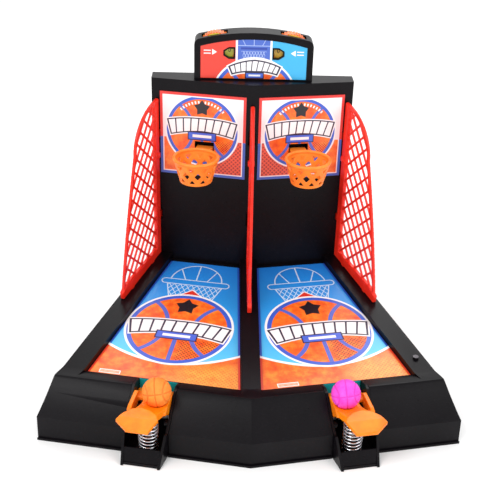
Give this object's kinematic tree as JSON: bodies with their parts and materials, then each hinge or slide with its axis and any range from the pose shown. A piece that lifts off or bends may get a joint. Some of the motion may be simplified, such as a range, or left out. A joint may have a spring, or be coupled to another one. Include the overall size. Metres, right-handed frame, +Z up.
{
  "type": "desktop basketball hoop machine",
  "caption": "Twin-lane tabletop basketball game with sloping courts, side nets, small hoops, spring catapult launchers, balls and a header with turning score wheels.",
  "frame": {"origin": "centre of the footprint on the table under the machine", "axes": "+X to the player's right across both lanes, +Y from the player towards the back wall, +Z up"},
  "size_m": [0.2908, 0.2292, 0.237],
  "materials": {
    "black_plastic": "moulded, lightly glossy black",
    "orange_plastic": "moulded, glossy orange",
    "red_plastic": "moulded, glossy red",
    "orange_ball": "moulded, pebbled orange with seams",
    "pink_ball": "moulded, pebbled pink with seams",
    "printed_card": "printed semi-gloss card",
    "teal_strip": "soft matt teal strip",
    "spring_chrome": "bright spring wire",
    "steel": "plain steel"
  },
  "bodies": {
    "machine": {"base_shell": "black_plastic", "back_wall": "black_plastic", "left_court_card": "printed_card", "right_court_card": "printed_card", "left_board_card": "printed_card", "right_board_card": "printed_card", "left_hoop": "orange_plastic", "right_hoop": "orange_plastic", "left_net": "red_plastic", "right_net": "red_plastic", "centre_net": "red_plastic", "header_shell": "black_plastic", "header_cover": "black_plastic", "header_card": "printed_card", "wheel_axles": "steel", "left_cradle": "black_plastic", "right_cradle": "black_plastic", "left_pivot_pin": "steel", "right_pivot_pin": "steel", "left_spring": "spring_chrome", "right_spring": "spring_chrome", "left_back_strip": "teal_strip", "right_back_strip": "teal_strip", "cradle_screws": "steel", "wall_screws": "steel", "header_screws": "steel", "rail_stud": "steel"},
    "left_lever_body": {"left_lever": "orange_plastic"},
    "right_lever_body": {"right_lever": "orange_plastic"},
    "left_ball_body": {"left_ball": "orange_ball"},
    "right_ball_body": {"right_ball": "pink_ball"},
    "left_wheel_body": {"left_score_wheel": "orange_plastic"},
    "right_wheel_body": {"right_score_wheel": "orange_plastic"}
  },
  "joints": [
    {"name": "left_launch", "type": "hinge", "parent": "machine", "child": "left_lever_body", "pos_m": [-0.06445, -0.05738, 0.024], "axis": [0.9828, -0.1848, 0], "range_deg": [0, 12], "stiffness_Nm_per_rad": 0.1, "springref_deg": -17.19, "deforming": ["left_spring"]},
    {"name": "left_ball_flight", "type": "slide", "parent": "left_lever_body", "child": "left_ball_body", "axis": [0.1188, 0.6317, 0.766], "range_m": [0, 0.05]},
    {"name": "left_score_turn", "type": "hinge", "parent": "machine", "child": "left_wheel_body", "pos_m": [-0.0276, 0.10336, 0.2227], "axis": [0, 1, 0], "continuous": true},
    {"name": "right_launch", "type": "hinge", "parent": "machine", "child": "right_lever_body", "pos_m": [0.06445, -0.05738, 0.024], "axis": [0.9828, 0.1848, 0], "range_deg": [0, 12], "stiffness_Nm_per_rad": 0.1, "springref_deg": -17.19, "deforming": ["right_spring"]},
    {"name": "right_ball_flight", "type": "slide", "parent": "right_lever_body", "child": "right_ball_body", "axis": [-0.1188, 0.6317, 0.766], "range_m": [0, 0.05]},
    {"name": "right_score_turn", "type": "hinge", "parent": "machine", "child": "right_wheel_body", "pos_m": [0.0276, 0.10336, 0.2227], "axis": [0, 1, 0], "continuous": true}
  ]
}
